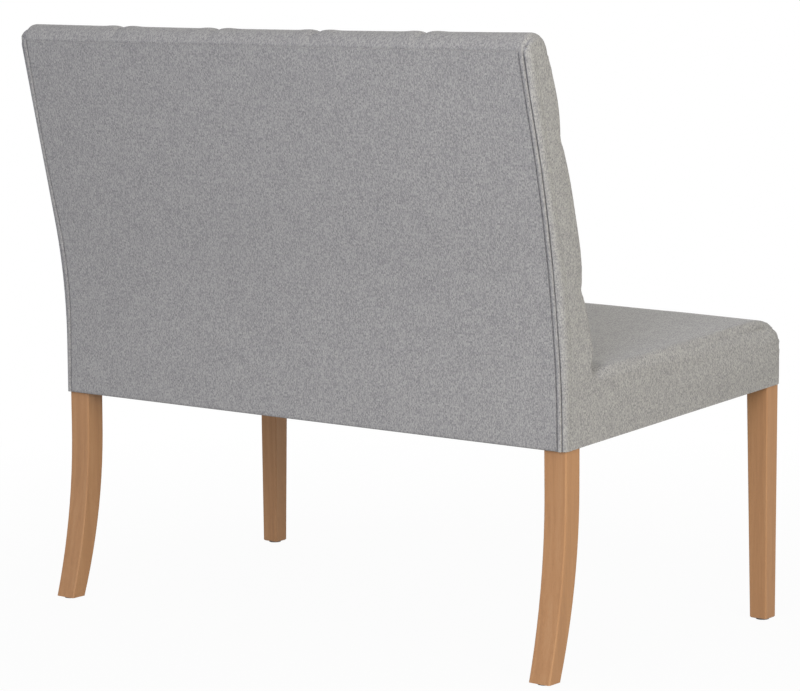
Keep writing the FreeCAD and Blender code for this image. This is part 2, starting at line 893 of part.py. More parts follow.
def back_dowels():
    """Dowels of the back frame on the right side."""
    half = dowel_length / 2
    rods = []
    for low, height in ((stile_high_z, top_rail_height), (lower_rail_z, lower_rail_height)):
        for share in dowel_height_shares:
            z = low + height * share
            place = FreeCAD.Vector(post_inner_x, post_middle(z), z)
            rods.append(rod(dowel_radius, place - x_axis * half, place + x_axis * half))
    for z in (stile_low_z, stile_high_z):
        for share in dowel_height_shares:
            x = stile_x + stile_width * (share - 0.5)
            ends = [FreeCAD.Vector(x, post_middle(end), end) for end in (z - half, z + half)]
            rods.append(rod(stile_dowel_radius, *ends))
    return rods


def group(shapes):
    return Part.makeCompound(shapes)


def main():
    os.makedirs("parts", exist_ok=True)
    corners = {"front": True, "rear": False}
    glides = both_sides([glide(x, y) for x, y in glide_places()])
    dowels = both_sides(seat_dowels() + back_dowels())
    bolts = both_sides([leg_bolt(at_front) for at_front in corners.values()])
    screw_lines = [line for at_front in corners.values() for line in block_screw_lines(at_front)]
    screws = both_sides([block_screw(*line) for line in screw_lines])
    bores = both_sides([screw_bore(*line) for line in screw_lines])
    fixings = dowels + bolts + screws
    front_legs = both_sides([front_leg()])
    seat_outer = seat_solid(0, 0, rear_face_y - cover_thickness)

    sawn_leg = rear_leg()
    stile_low_x = stile_x - stile_width / 2
    wood = {
        "rear_leg_right": eased_leg(sawn_leg),
        "rear_leg_left": eased_leg(mirrored(sawn_leg)),
        "front_rail": front_rail(),
        "rear_rail": rear_rail(),
        "centre_rail": centre_rail(),
        "back_top_rail": back_member(stile_high_z, frame_top_z, -post_inner_x, post_inner_x),
        "back_lower_rail": back_member(lower_rail_z, stile_low_z, -post_inner_x, post_inner_x),
    }
    pairs = {
        "front_leg": front_legs[0],
        "side_rail": side_rail(),
        "back_stile": back_member(stile_low_z, stile_high_z, stile_low_x, stile_low_x + stile_width),
    }
    for place, at_front in corners.items():
        pairs["corner_block_" + place] = corner_block(at_front).cut(bores)
    for name, shape in pairs.items():
        wood[name + "_right"] = shape
        wood[name + "_left"] = mirrored(shape)

    nodes = {name: shape.cut(fixings + glides) for name, shape in wood.items()}
    nodes["floor_glides"] = group(glides)
    nodes["frame_dowels"] = group(dowels)
    nodes["leg_bolts"] = group(bolts)
    nodes["leg_bolt_washers"] = group(both_sides([bolt_washer(at_front) for at_front in corners.values()]))
    nodes["leg_bolt_nuts"] = group(both_sides([bolt_nut(at_front) for at_front in corners.values()]))
    nodes["corner_block_screws"] = group(screws)

    nodes["webbing_crosswise"] = group(crosswise_webbing())
    nodes["webbing_lengthwise"] = group(lengthwise_webbing())
    nodes["dust_cover"] = dust_cover()
    nodes["seat_foam"] = seat_foam()
    nodes["seat_cover"] = seat_cover(seat_outer, front_legs)

    nodes["tuft_board"] = tuft_board()
    nodes["back_foam"] = back_foam()
    nodes["back_cover"] = back_cover(seat_outer)
    nodes["tuft_buttons"] = group([tuft_button(*place) for place in button_places()])
    nodes["tuft_twines"] = group([tuft_twine(*place) for place in button_places()])
    nodes["tuft_toggles"] = group([tuft_toggle(*place) for place in button_places()])

    wadding = cover_thickness + rear_wadding_thickness
    nodes["rear_panel"] = rear_panel()
    nodes["rear_wadding"] = rear_sheet(cover_thickness, wadding, board_low_z, post_outer_x)
    nodes["rear_board"] = rear_sheet(wadding, rear_layers, board_low_z, post_outer_x)
    nodes["corner_welt_right"] = corner_welt()
    nodes["corner_welt_left"] = mirrored(corner_welt())

    for name, shape in nodes.items():
        shape.exportStep("parts/" + name + ".step")
        print(name, len(shape.Solids), shape.isValid(), round(shape.Volume))


main()
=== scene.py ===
import math
import bpy
import numpy as np
from mathutils import Matrix, Vector


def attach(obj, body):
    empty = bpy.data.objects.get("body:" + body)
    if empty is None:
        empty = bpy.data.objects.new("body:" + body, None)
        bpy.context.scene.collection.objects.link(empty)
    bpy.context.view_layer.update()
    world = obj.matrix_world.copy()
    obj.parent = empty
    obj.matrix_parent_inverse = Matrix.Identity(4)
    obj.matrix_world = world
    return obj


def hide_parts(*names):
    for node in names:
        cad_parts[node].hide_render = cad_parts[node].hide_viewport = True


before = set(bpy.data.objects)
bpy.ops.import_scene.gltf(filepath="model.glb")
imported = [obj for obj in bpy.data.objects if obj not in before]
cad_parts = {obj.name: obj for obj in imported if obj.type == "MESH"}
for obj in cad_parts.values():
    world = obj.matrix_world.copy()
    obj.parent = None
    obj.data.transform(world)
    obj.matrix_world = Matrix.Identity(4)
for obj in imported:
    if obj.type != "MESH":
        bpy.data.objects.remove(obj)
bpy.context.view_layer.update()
scene = bpy.context.scene
scene.view_settings.view_transform = "Standard"
print("frame loaded,", len(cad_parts), "nodes")


# camera, at the photographer's place behind the bench
cameraView = {
    "azimuth": 38.4,
    "elevation": 7.7,
    "roll": -0.3,
    "distance": 4.923,
    "target": (0.0, -0.025, 0.4457),
    "lens": 132.5,
    "sensor": 36,
    "farthest": 60,
}


def placeCamera(v):
    a, e, r = (math.radians(v[k]) for k in ("azimuth", "elevation", "roll"))
    back = Vector((-math.sin(a) * math.cos(e), math.cos(a) * math.cos(e), math.sin(e)))
    right = (-back).cross(Vector((0, 0, 1))).normalized()
    up = right.cross(-back)
    turnedRight = right * math.cos(r) + up * math.sin(r)
    turnedUp = up * math.cos(r) - right * math.sin(r)
    data = bpy.data.cameras.new("camera")
    data.lens = v["lens"]
    data.sensor_width = v["sensor"]
    data.sensor_fit = "HORIZONTAL"
    data.clip_end = v["farthest"]
    camera = bpy.data.objects.new("camera", data)
    scene.collection.objects.link(camera)
    turn = Matrix((turnedRight, turnedUp, back)).transposed()
    camera.matrix_world = Matrix.Translation(Vector(v["target"]) + back * v["distance"]) @ turn.to_4x4()
    scene.camera = camera


placeCamera(cameraView)
print("camera placed")


# modelling helpers
def startPiece(name, kind, **settings):
    if bpy.context.mode != "OBJECT":
        bpy.ops.object.mode_set(mode="OBJECT")
    bpy.ops.object.select_all(action="DESELECT")
    getattr(bpy.ops.mesh, "primitive_" + kind + "_add")(**settings)
    piece = bpy.context.object
    piece.name = piece.data.name = name
    return piece


def pickEdges(piece, rule):
    # leaves the piece in edit mode with the edges that follow the rule selected
    bpy.ops.object.mode_set(mode="EDIT")
    bpy.ops.mesh.select_mode(type="EDGE")
    bpy.ops.mesh.select_all(action="DESELECT")
    bpy.ops.object.mode_set(mode="OBJECT")
    spots = piece.data.vertices
    for edge in piece.data.edges:
        edge.select = rule(spots[edge.vertices[0]].co, spots[edge.vertices[1]].co)
    bpy.ops.object.mode_set(mode="EDIT")


def pickFaces(piece, rule):
    bpy.ops.object.mode_set(mode="EDIT")
    bpy.ops.mesh.select_mode(type="FACE")
    bpy.ops.mesh.select_all(action="DESELECT")
    bpy.ops.object.mode_set(mode="OBJECT")
    for face in piece.data.polygons:
        face.select = rule(face.center)
    bpy.ops.object.mode_set(mode="EDIT")


def useOnly(piece):
    if bpy.context.mode != "OBJECT":
        bpy.ops.object.mode_set(mode="OBJECT")
    bpy.ops.object.select_all(action="DESELECT")
    piece.select_set(True)
    bpy.context.view_layer.objects.active = piece


def applyModifier(piece, kind, **settings):
    useOnly(piece)
    modifier = piece.modifiers.new(kind.lower(), kind)
    for key, value in settings.items():
        setattr(modifier, key, value)
    bpy.ops.object.modifier_apply(modifier=modifier.name)


def onWhole(piece, edit, **settings):
    # one edit to the whole mesh
    useOnly(piece)
    bpy.ops.object.mode_set(mode="EDIT")
    bpy.ops.mesh.select_all(action="SELECT")
    edit(**settings)
    bpy.ops.object.mode_set(mode="OBJECT")


def copiesOf(first, count):
    copies = [first]
    while len(copies) < count:
        useOnly(first)
        bpy.ops.object.duplicate()
        copies.append(bpy.context.object)
    return copies


def joinPieces(pieces, name):
    useOnly(pieces[0])
    for piece in pieces[1:]:
        piece.select_set(True)
    bpy.ops.object.join()
    joined = bpy.context.object
    joined.name = joined.data.name = name
    return joined


def points(piece):
    flat = np.empty(len(piece.data.vertices) * 3)
    piece.data.vertices.foreach_get("co", flat)
    return flat.reshape(-1, 3)


def setPoints(piece, spots):
    piece.data.vertices.foreach_set("co", np.ascontiguousarray(spots, dtype=np.float64).ravel())
    piece.data.update()


def normals(piece):
    flat = np.empty(len(piece.data.vertices) * 3, dtype=np.float32)
    piece.data.vertices.foreach_get("normal", flat)
    return flat.reshape(-1, 3).astype(float)


def smoothStep(low, high, value):
    t = np.clip((value - low) / (high - low), 0, 1)
    return t * t * (3 - 2 * t)


def weaveMap(piece):
    # flat weave coordinates in metres, laid on each face along its own main plane
    mesh = piece.data
    layer = mesh.uv_layers.get("weave") or mesh.uv_layers.new(name="weave")
    mesh.uv_layers.active = layer
    corners = np.empty(len(mesh.loops), dtype=np.int32)
    mesh.loops.foreach_get("vertex_index", corners)
    facing = np.empty(len(mesh.polygons) * 3, dtype=np.float32)
    mesh.polygons.foreach_get("normal", facing)
    counts = np.empty(len(mesh.polygons), dtype=np.int32)
    mesh.polygons.foreach_get("loop_total", counts)
    main = np.repeat(np.argmax(np.abs(facing.reshape(-1, 3)), axis=1), counts)[:, None]
    at = points(piece)[corners]
    flat = np.where(main == 1, at[:, [0, 2]], at[:, [0, 1]])
    flat = np.where(main == 0, at[:, [1, 2]], flat)
    layer.data.foreach_set("uv", flat.astype(np.float32).ravel())


# shader maths as Python expressions
class Shade:
    def __init__(self, tree, socket=None):
        self.tree = tree
        self.socket = socket

    def add(self, kind, settings=None, inputs=None, out=0):
        node = self.tree.nodes.new("ShaderNode" + kind)
        for key, value in (settings or {}).items():
            if key == "stops":
                ramp = node.color_ramp
                while len(ramp.elements) < len(value):
                    ramp.elements.new(0.5)
                for element, (place, colour) in zip(ramp.elements, value):
                    element.position = place
                    element.color = colour
            else:
                setattr(node, key, value)
        for key, value in (inputs or {}).items():
            if isinstance(value, Shade):
                self.tree.links.new(value.socket, node.inputs[key])
            else:
                node.inputs[key].default_value = value
        return Shade(self.tree, node.outputs[out])

    def other(self, name):
        # another output of the same node
        return Shade(self.tree, self.socket.node.outputs[name])

    def math(self, operation, first, second=0.0):
        return self.add("Math", {"operation": operation}, {0: first, 1: second})

    def __add__(self, other):
        return self.math("ADD", self, other)

    def __sub__(self, other):
        return self.math("SUBTRACT", self, other)

    def __rsub__(self, other):
        return self.math("SUBTRACT", other, self)

    def __mul__(self, other):
        return self.math("MULTIPLY", self, other)

    def blend(self, first, second):
        # this value mixes two colours
        return self.add("Mix", {"data_type": "RGBA"}, {0: self, 6: first, 7: second}, 2)

    def spread(self, low, high, bottom=0.0, top=1.0):
        return self.add("MapRange", {}, {0: self, 1: low, 2: high, 3: bottom, 4: top})

    def noise(self, place, scale, detail, roughness):
        settings = {"Vector": place, "Scale": scale, "Detail": detail, "Roughness": roughness}
        return self.add("TexNoise", {}, settings)

    def bumped(self, strength, distance):
        return self.add("Bump", {}, {"Strength": strength, "Distance": distance, "Height": self})


def newMaterial(name):
    material = bpy.data.materials.new(name)
    material.use_nodes = True
    tree = material.node_tree
    surface = tree.nodes["Principled BSDF"]
    return material, Shade(tree), surface


def link(shade, surface, socket):
    shade.tree.links.new(shade.socket, surface.inputs[socket])


def setSockets(surface, values):
    for socket, value in values.items():
        surface.inputs[socket].default_value = value


fabricLook = {
    "base": (0.318, 0.312, 0.318, 1),
    "dark": (0.168, 0.163, 0.180, 1),
    "light": (0.496, 0.488, 0.476, 1),
    "threads": 620.0,
    "fleckAcross": 640.0,
    "fleckAlong": 320.0,
    "mottle": 26.0,
    "fleckShare": 0.45,
    "acrossShare": 0.20,
    "yarnShare": 0.09,
    "mottleShare": 0.04,
    "threadShare": 0.08,
    "middleTone": 0.435,
    "toneSpan": 0.11,
    "roughness": 0.80,
    "roughSpread": 0.12,
    "bump": 0.25,
    "bumpDepth": 0.0005,
    "specular": 0.18,
    "sheen": 0.12,
    "sheenRoughness": 0.45,
}


def makeFabric(name, look):
    material, sh, surface = newMaterial(name)
    place = sh.add("UVMap", {"uv_map": "weave"})
    u = sh.add("SeparateXYZ", {}, {0: place})
    v = u.other(1)
    across, along, threads = look["fleckAcross"], look["fleckAlong"], look["threads"]

    def at(first, second, layer=0.0):
        return sh.add("CombineXYZ", {}, {0: first, 1: second, 2: layer})

    fleck = sh.noise(at(u * across, v * along), 1.0, 4.0, 0.75)
    acrossFleck = sh.noise(at(u * along, v * across, 7.0), 1.0, 4.0, 0.75)
    mottle = sh.noise(place, look["mottle"], 3.0, 0.6)
    warp = sh.math("SINE", u * (threads * math.pi))
    weft = sh.math("SINE", v * (threads * math.pi))
    over = sh.math("GREATER_THAN", warp * weft, 0.0)
    thread = over * sh.math("ABSOLUTE", warp) + (1 - over) * sh.math("ABSOLUTE", weft)
    cell = at(sh.math("FLOOR", u * threads), sh.math("FLOOR", v * (threads / 2)))
    yarn = sh.add("TexWhiteNoise", {"noise_dimensions": "2D"}, {"Vector": cell})
    tone = fleck * look["fleckShare"] + acrossFleck * look["acrossShare"] + yarn * look["yarnShare"]
    tone = tone + mottle * look["mottleShare"] + thread * look["threadShare"] - look["middleTone"]
    spread = tone.spread(-look["toneSpan"], look["toneSpan"])
    stops = [(0.0, look["dark"]), (0.5, look["base"]), (1.0, look["light"])]
    link(sh.add("ValToRGB", {"stops": stops}, {0: spread}), surface, "Base Color")
    link(fleck * look["roughSpread"] + look["roughness"], surface, "Roughness")
    link((thread * 0.7 + fleck * 0.3).bumped(look["bump"], look["bumpDepth"]), surface, "Normal")
    setSockets(surface, {"Specular IOR Level": look["specular"], "Sheen Weight": look["sheen"],
                         "Sheen Roughness": look["sheenRoughness"]})
    return material


beechLook = {
    "pale": (0.490, 0.275, 0.140, 1),
    "mid": (0.438, 0.226, 0.104, 1),
    "dark": (0.360, 0.182, 0.084, 1),
    "stops": (0.22, 0.5, 0.8),
    "stretch": 0.045,
    "ringsPerMetre": 60.0,
    "drift": 22.0,
    "driftRings": 5.0,
    "streaks": 420.0,
    "broad": 60.0,
    "pores": (900.0, 900.0, 170.0),
    "poreEdges": (0.60, 0.72),
    "ringShare": 0.12,
    "streakShare": 0.50,
    "broadShare": 0.55,
    "poreShare": 0.10,
    "darker": 0.08,
    "roughness": 0.37,
    "roughSpread": 0.18,
    "bump": 0.12,
    "bumpDepth": 0.0006,
    "specular": 0.35,
}


def makeBeech(name, look):
    material, sh, surface = newMaterial(name)
    place = sh.add("TexCoord", {}, {}, 3)
    grain = sh.add("Mapping", {}, {"Vector": place, "Scale": (1.0, 1.0, look["stretch"])})
    drift = sh.noise(grain, look["drift"], 2.0, 0.5)
    across = sh.add("SeparateXYZ", {}, {0: grain})
    wave = across * look["ringsPerMetre"] + drift * look["driftRings"]
    rings = sh.math("SINE", wave * (2 * math.pi)) * 0.5 + 0.5
    streaks = sh.noise(grain, look["streaks"], 3.0, 0.62)
    broad = sh.noise(grain, look["broad"], 3.0, 0.55)
    flecks = sh.add("Mapping", {}, {"Vector": place, "Scale": look["pores"]})
    pores = sh.noise(flecks, 1.0, 1.0, 0.5).spread(*look["poreEdges"])
    tone = rings * look["ringShare"] + streaks * look["streakShare"] + broad * look["broadShare"]
    tone = tone - pores * look["poreShare"] - look["darker"]
    stops = list(zip(look["stops"], (look["dark"], look["mid"], look["pale"])))
    link(sh.add("ValToRGB", {"stops": stops}, {0: tone}), surface, "Base Color")
    link(streaks * look["roughSpread"] + look["roughness"], surface, "Roughness")
    link((streaks * 0.5 - pores * 0.5).bumped(look["bump"], look["bumpDepth"]), surface, "Normal")
    setSockets(surface, {"Specular IOR Level": look["specular"]})
    return material


# plain stock for the slots that hardly show: two tones, the size of their grain, and a roughness
stock = {
    "frame_wood": {"name": "sawnFrameWood", "dark": (0.36, 0.24, 0.13, 1), "light": (0.52, 0.38, 0.23, 1),
                   "scale": 90.0, "roughness": 0.7, "stretch": (0.1, 1.0, 1.0)},
    "board": {"name": "pressedBoard", "dark": (0.19, 0.12, 0.07, 1), "light": (0.28, 0.19, 0.12, 1),
              "scale": 300.0, "roughness": 0.75},
    "filling": {"name": "fillingFoam", "dark": (0.66, 0.62, 0.50, 1), "light": (0.76, 0.73, 0.62, 1),
                "scale": 500.0, "roughness": 0.9, "bump": 0.5},
    "webbing": {"name": "webbingWeave", "dark": (0.05, 0.045, 0.04, 1), "light": (0.12, 0.11, 0.10, 1),
                "scale": 700.0, "roughness": 0.85, "bump": 0.5},
    "dust_cloth": {"name": "dustCloth", "dark": (0.010, 0.010, 0.011, 1), "light": (0.026, 0.026, 0.028, 1),
                   "scale": 900.0, "roughness": 0.9, "bump": 0.4},
    "twine": {"name": "waxedTwine", "dark": (0.45, 0.40, 0.30, 1), "light": (0.62, 0.57, 0.46, 1),
              "scale": 900.0, "roughness": 0.8, "bump": 0.5},
    "steel": {"name": "zincSteel", "dark": (0.42, 0.42, 0.41, 1), "light": (0.60, 0.60, 0.59, 1),
              "scale": 200.0, "roughness": 0.38, "metallic": 1.0},
    "glide_plastic": {"name": "glidePlastic", "dark": (0.035, 0.033, 0.032, 1),
                      "light": (0.060, 0.058, 0.055, 1), "scale": 600.0, "roughness": 0.5},
}


def makeGrained(name, dark, light, scale, roughness, bump=0.2, metallic=0.0, stretch=(1.0, 1.0, 1.0)):
    material, sh, surface = newMaterial(name)
    place = sh.add("TexCoord", {}, {}, 3)
    noise = sh.noise(sh.add("Mapping", {}, {"Vector": place, "Scale": stretch}), scale, 3.0, 0.6)
    link(noise.spread(0.3, 0.7).blend(dark, light), surface, "Base Color")
    link(noise * 0.16 + (roughness - 0.08), surface, "Roughness")
    link(noise.bumped(bump, 0.001), surface, "Normal")
    setSockets(surface, {"Metallic": metallic})
    return material


slotLooks = {slot: makeGrained(**look) for slot, look in stock.items()}
slotLooks["fabric"] = makeFabric("greyMelangeWeave", fabricLook)
slotLooks["beech"] = makeBeech("beech", beechLook)


# which finish a frame node takes, by the words in its name
nodeWords = (
    ("_leg_", "beech"), ("glides", "glide_plastic"), ("bolt", "steel"), ("screws", "steel"),
    ("webbing", "webbing"), ("dust", "dust_cloth"), ("foam", "filling"), ("wadding", "filling"),
    ("twines", "twine"), ("board", "board"), ("toggles", "board"), ("rail", "frame_wood"),
    ("stile", "frame_wood"), ("block", "frame_wood"), ("dowels", "frame_wood"),
)


def giveLook(piece, slot):
    piece.data.materials.clear()
    piece.data.materials.append(slotLooks[slot])


for name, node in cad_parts.items():
    giveLook(node, next((finish for word, finish in nodeWords if word in name), "fabric"))
print("materials ready")


def shadeSmooth(piece, angle):
    useOnly(piece)
    bpy.ops.object.shade_smooth_by_angle(angle=math.radians(angle))


def finishCloth(piece):
    giveLook(piece, "fabric")
    weaveMap(piece)
    shadeSmooth(piece, 60)
    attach(piece, "root")


# lines of the back and the seat, as the frame has them, in metres
bench = {
    "rearY": 0.239592,
    "foamY": 0.178092,
    "frontY": -0.3335,
    "rearHalf": 0.5225,
    "frontHalf": 0.553,
    "bendZ": 0.440,
    "rearRadius": 0.950,
    "rearRake": 13.0,
    "foamRadius": 0.816,
    "foamRake": 14.6,
    "panelTop": 0.955,
    "top": 0.982,
    "edgeZ": 0.3537,
    "slope": 4.0,
    "sideHeight": 0.104,
    "crown": 0.013,
}


def leanY(faceY, radius, rake, z):
    rake = math.radians(rake)
    rise = np.maximum(np.asarray(z, dtype=float) - bench["bendZ"], 0)
    arcRise = radius * math.sin(rake)
    onArc = np.minimum(rise, arcRise)
    return faceY + radius - np.sqrt(radius ** 2 - onArc ** 2) + (rise - onArc) * math.tan(rake)


def rearLine(z):
    return leanY(bench["rearY"], bench["rearRadius"], bench["rearRake"], z)


def foamLine(z):
    return leanY(bench["foamY"], bench["foamRadius"], bench["foamRake"], z)


def seatBase(y):
    return bench["edgeZ"] + (bench["rearY"] - np.asarray(y)) * math.tan(math.radians(bench["slope"]))


def seatHalf(y):
    share = (bench["rearY"] - np.asarray(y)) / (bench["rearY"] - bench["frontY"])
    return bench["rearHalf"] + (bench["frontHalf"] - bench["rearHalf"]) * share


# padded back and seat, sewn from one cloth: two shaped blocks, joined, swelled, then cut apart at the crease
padShape = {
    "voxel": 0.0065,
    "smooth": 2,
    "backCuts": 18,
    "backDepth": 0.015,
    "backLow": 0.440,
    "backEdge": 0.015,
    "rearInset": 0.0045,
    "sideInset": 0.0010,
    "short": 0.001,
    "frontShort": 0.002,
    "frontRoll": 0.048,
    "seatEdge": 0.014,
    "spare": 0.014,
    "firstTufts": 0.8,
    "frontGap": 0.004,
    "pleatFloor": 0.010,
    "pressure": 4.0,
    "quality": 4,
    "stiffness": 12,
    "bending": 0.6,
    "frames": 20,
    "cap": 0.003,
    "formHold": 0.88,
    "rollDepth": 0.066,
    "rollHeight": 0.044,
    "frontOut": 0.0025,
    "crownFall": 0.30,
    "sideRound": 0.013,
    "browDrop": 0.025,
    "topFall": 0.3,
    "topRound": 0.017,
    "cornerDrop": 0.0085,
    "cornerFold": 0.0045,
    "foldWidth": 0.0030,
    "foldInset": 0.0085,
    "foldShift": 0.0045,
    "foldRun": 0.033,
    "rearRound": 0.0110,
    "underBand": 0.0022,
    "underCut": 0.0004,
    "creaseHeight": 0.123,
}
tufts = {
    "columns": (0.104, 0.312),
    "middleColumns": (0.0, 0.208),
    "highRow": 0.825,
    "middleRow": 0.710,
    "lowRow": 0.595,
    "buttonDepth": 0.004,
    "pleatRise": 0.009,
    "topEnd": (1.02, 0.012),
    "lowEnd": (0.44, 0.016),
    "endRise": 0.004,
    "sideEnds": (0.003, -0.004),
    "sideRise": 0.006,
    "crest": 0.036,
    "sideCrest": 0.018,
    "browCrest": 0.017,
    "sideBrow": 0.009,
    "creaseCrest": 0.026,
    "sideZone": (0.36, 0.53),
    "browZone": (0.86, 0.965),
    "creaseZone": (0.56, 0.47),
    "reach": 0.092,
    "topNotch": 0.0045,
    "notchWidth": 0.006,
    "topBump": 0.0012,
    "bumpPlace": 0.022,
    "bumpWidth": 0.014,
    "topSag": 0.0025,
    "folds": 9,
    "foldHeight": 0.0014,
    "foldStart": 0.016,
    "dimple": 0.0035,
    "dimpleWidth": 0.015,
    "seed": 11,
}


def backBlock(s):
    block = startPiece("backBlock", "cube", size=2)
    pickEdges(block, lambda a, b: abs(a.z - b.z) > 1)
    bpy.ops.mesh.subdivide(number_cuts=s["backCuts"])
    bpy.ops.object.mode_set(mode="OBJECT")
    p = points(block)
    half, top = bench["rearHalf"] - s["sideInset"], bench["top"] - s["short"]
    z = s["backLow"] + (p[:, 2] + 1) / 2 * (top - s["backLow"])
    y = np.where(p[:, 1] < 0, foamLine(z) - s["backDepth"], rearLine(z) - s["rearInset"])
    setPoints(block, np.stack([p[:, 0] * half, y, z], axis=1))

    def rounded(a, b):
        if abs(a.z - top) < 1e-5 and abs(b.z - top) < 1e-5:
            return True
        onSide = abs(a.x) > half - 1e-5 and abs(b.x) > half - 1e-5 and a.x * b.x > 0
        atFront = all(abs(q.y - (foamLine(q.z) - s["backDepth"])) < 1e-5 for q in (a, b))
        return onSide and atFront

    pickEdges(block, rounded)
    bpy.ops.mesh.bevel(offset=s["backEdge"], segments=5, affect="EDGES")
    bpy.ops.object.mode_set(mode="OBJECT")
    return block


def seatBlock(s):
    block = startPiece("seatBlock", "cube", size=2)
    p = points(block)
    frontY, height = bench["frontY"] + s["frontShort"], bench["sideHeight"] - s["short"]
    y = np.where(p[:, 1] < 0, frontY, bench["rearY"] - s["rearInset"])
    x = p[:, 0] * (seatHalf(y) - s["sideInset"])
    z = seatBase(y) + np.where(p[:, 2] < 0, -s["spare"], height)
    setPoints(block, np.stack([x, y, z], axis=1))
    frontTop = float(seatBase(frontY)) + height
    pickEdges(block, lambda a, b: all(q.y < 0 and q.z > frontTop - 1e-4 for q in (a, b)))
    bpy.ops.mesh.bevel(offset=s["frontRoll"], segments=8, affect="EDGES")

    def sideEdge(a, b):
        ends = (a, b)
        atSide = all(abs(abs(q.x) - (float(seatHalf(q.y)) - s["sideInset"])) < 1e-4 for q in ends)
        low = all(q.z < float(seatBase(q.y)) for q in ends)
        rear = all(q.y > 0 for q in ends)
        upright = all(q.y < frontY + 0.002 for q in ends)
        return atSide and a.x * b.x > 0 and not low and not rear and not upright

    pickEdges(block, sideEdge)
    bpy.ops.mesh.bevel(offset=s["seatEdge"], segments=3, affect="EDGES")
    bpy.ops.object.mode_set(mode="OBJECT")
    return block


def pleatLines(t):
    # each pleat: start, end, its depth at both ends and its rise between them
    lines = []
    deep = t["buttonDepth"]
    middles = sorted({-m for m in t["middleColumns"]} | set(t["middleColumns"]))
    for side in (-1, 1):
        for column in t["columns"]:
            x = side * column
            for row in (t["highRow"], t["lowRow"]):
                for middle in middles:
                    if abs(abs(x - middle) - t["columns"][0]) < 1e-3:
                        lines.append(((x, row), (middle, t["middleRow"]), deep, deep, t["pleatRise"]))
            for row, (end, depth) in ((t["highRow"], t["topEnd"]), (t["lowRow"], t["lowEnd"])):
                lines.append(((x, row), (x, end), deep, depth, t["endRise"]))
        outer = side * t["columns"][1]
        for row, depth in zip((t["highRow"], t["lowRow"]), t["sideEnds"]):
            lines.append(((outer, row), (side * bench["rearHalf"], row), deep, depth, t["sideRise"]))
    return lines


def buttonSpots(t):
    spots = []
    for side in (-1, 1):
        for column in t["columns"]:
            spots += [(side * column, t["highRow"]), (side * column, t["lowRow"])]
        spots.append((side * t["middleColumns"][1], t["middleRow"]))
    spots.append((t["middleColumns"][0], t["middleRow"]))
    return spots


def tuftSwell(t, x, z):
    # how far the cover stands in front of the foam at each place
    pillow = np.ones_like(x)
    floorSum = np.zeros_like(x)
    weightSum = np.zeros_like(x)
    for start, end, deepStart, deepEnd, rise in pleatLines(t):
        run = np.array(end) - np.array(start)
        share = np.clip(((x - start[0]) * run[0] + (z - start[1]) * run[1]) / (run @ run), 0, 1)
        away = np.hypot(x - start[0] - share * run[0], z - start[1] - share * run[1])
        near = np.clip(away / t["reach"], 0, 1)
        pillow *= np.sqrt(1 - (1 - near) ** 2 + 1e-9)
        depth = deepStart + (deepEnd - deepStart) * share + rise * np.sin(np.pi * share)
        weight = 1 / (away ** 2 + 1e-5)
        floorSum += depth * weight
        weightSum += weight
    floor = floorSum / weightSum
    toSide = smoothStep(*t["sideZone"], np.abs(x))
    crest = t["crest"] + (t["sideCrest"] - t["crest"]) * toSide
    brow = t["browCrest"] + (t["sideBrow"] - t["browCrest"]) * toSide
    crest = crest + (brow - crest) * smoothStep(*t["browZone"], z)
    crest = crest + (t["creaseCrest"] - crest) * smoothStep(*t["creaseZone"], z)
    return floor + np.maximum(crest - floor, 0) * pillow


def tuckFolds(t, x, z):
    # small gathers that run out from each button
    rng = np.random.default_rng(t["seed"])
    height = np.zeros_like(x)
    for bx, bz in buttonSpots(t):
        away = np.hypot(x - bx, z - bz)
        turn = np.arctan2(z - bz, x - bx)
        phase = rng.uniform(0, 6.28)
        ripple = np.cos(t["folds"] * turn + phase + 1.5 * np.sin(2 * turn + phase))
        fade = np.exp(-np.maximum(away - t["foldStart"], 0) / t["foldStart"])
        fade = smoothStep(0.010, 0.020, away) * fade
        height += t["foldHeight"] * ripple * fade - t["dimple"] * np.exp(-(away / t["dimpleWidth"]) ** 2)
    return height


def swellPad(pad, held, s):
    # cloth filled with air, capped, so that the covers puff between their held lines
    start = points(pad)
    facing = normals(pad)
    group = pad.vertex_groups.new(name="held")
    for level in range(1, 11):
        chosen = np.nonzero(np.round(held * 10) == level)[0]
        group.add(chosen.tolist(), level / 10, "REPLACE")
    useOnly(pad)
    modifier = pad.modifiers.new("cloth", "CLOTH")
    cloth = modifier.settings
    cloth.vertex_group_mass = "held"
    cloth.quality = s["quality"]
    cloth.tension_stiffness = s["stiffness"]
    cloth.compression_stiffness = s["stiffness"]
    cloth.bending_stiffness = s["bending"]
    cloth.use_pressure = True
    cloth.uniform_pressure_force = s["pressure"]
    cloth.effector_weights.gravity = 0
    for number in range(1, s["frames"] + 1):
        scene.frame_set(number)
    bpy.ops.object.modifier_apply(modifier="cloth")
    scene.frame_set(1)
    outward = ((points(pad) - start) * facing).sum(axis=1)
    most, mean = outward.max() * 1000, outward.mean() * 1000
    print("swell: most", round(float(most), 1), "mm, mean", round(float(mean), 2), "mm")
    swelled = s["cap"] * np.tanh(np.maximum(outward, 0) / s["cap"]) * (1 - held)
    setPoints(pad, start + facing * swelled[:, None])
    pad.vertex_groups.clear()


def onFront(p, s):
    # 1 on the buttoned front, fading round its edges and away at the seat
    ahead = p[:, 1] - (foamLine(p[:, 2]) - s["backDepth"])
    above = smoothStep(0.478, 0.500, p[:, 2])
    return (1 - smoothStep(0.004, 0.020, ahead)) * above


def sideFall(x, s):
    # how far the front edge falls back where it rounds into the side
    over = np.clip(s["sideRound"] - bench["rearHalf"] + np.abs(x), 0, s["sideRound"])
    return s["sideRound"] - np.sqrt(s["sideRound"] ** 2 - over ** 2)


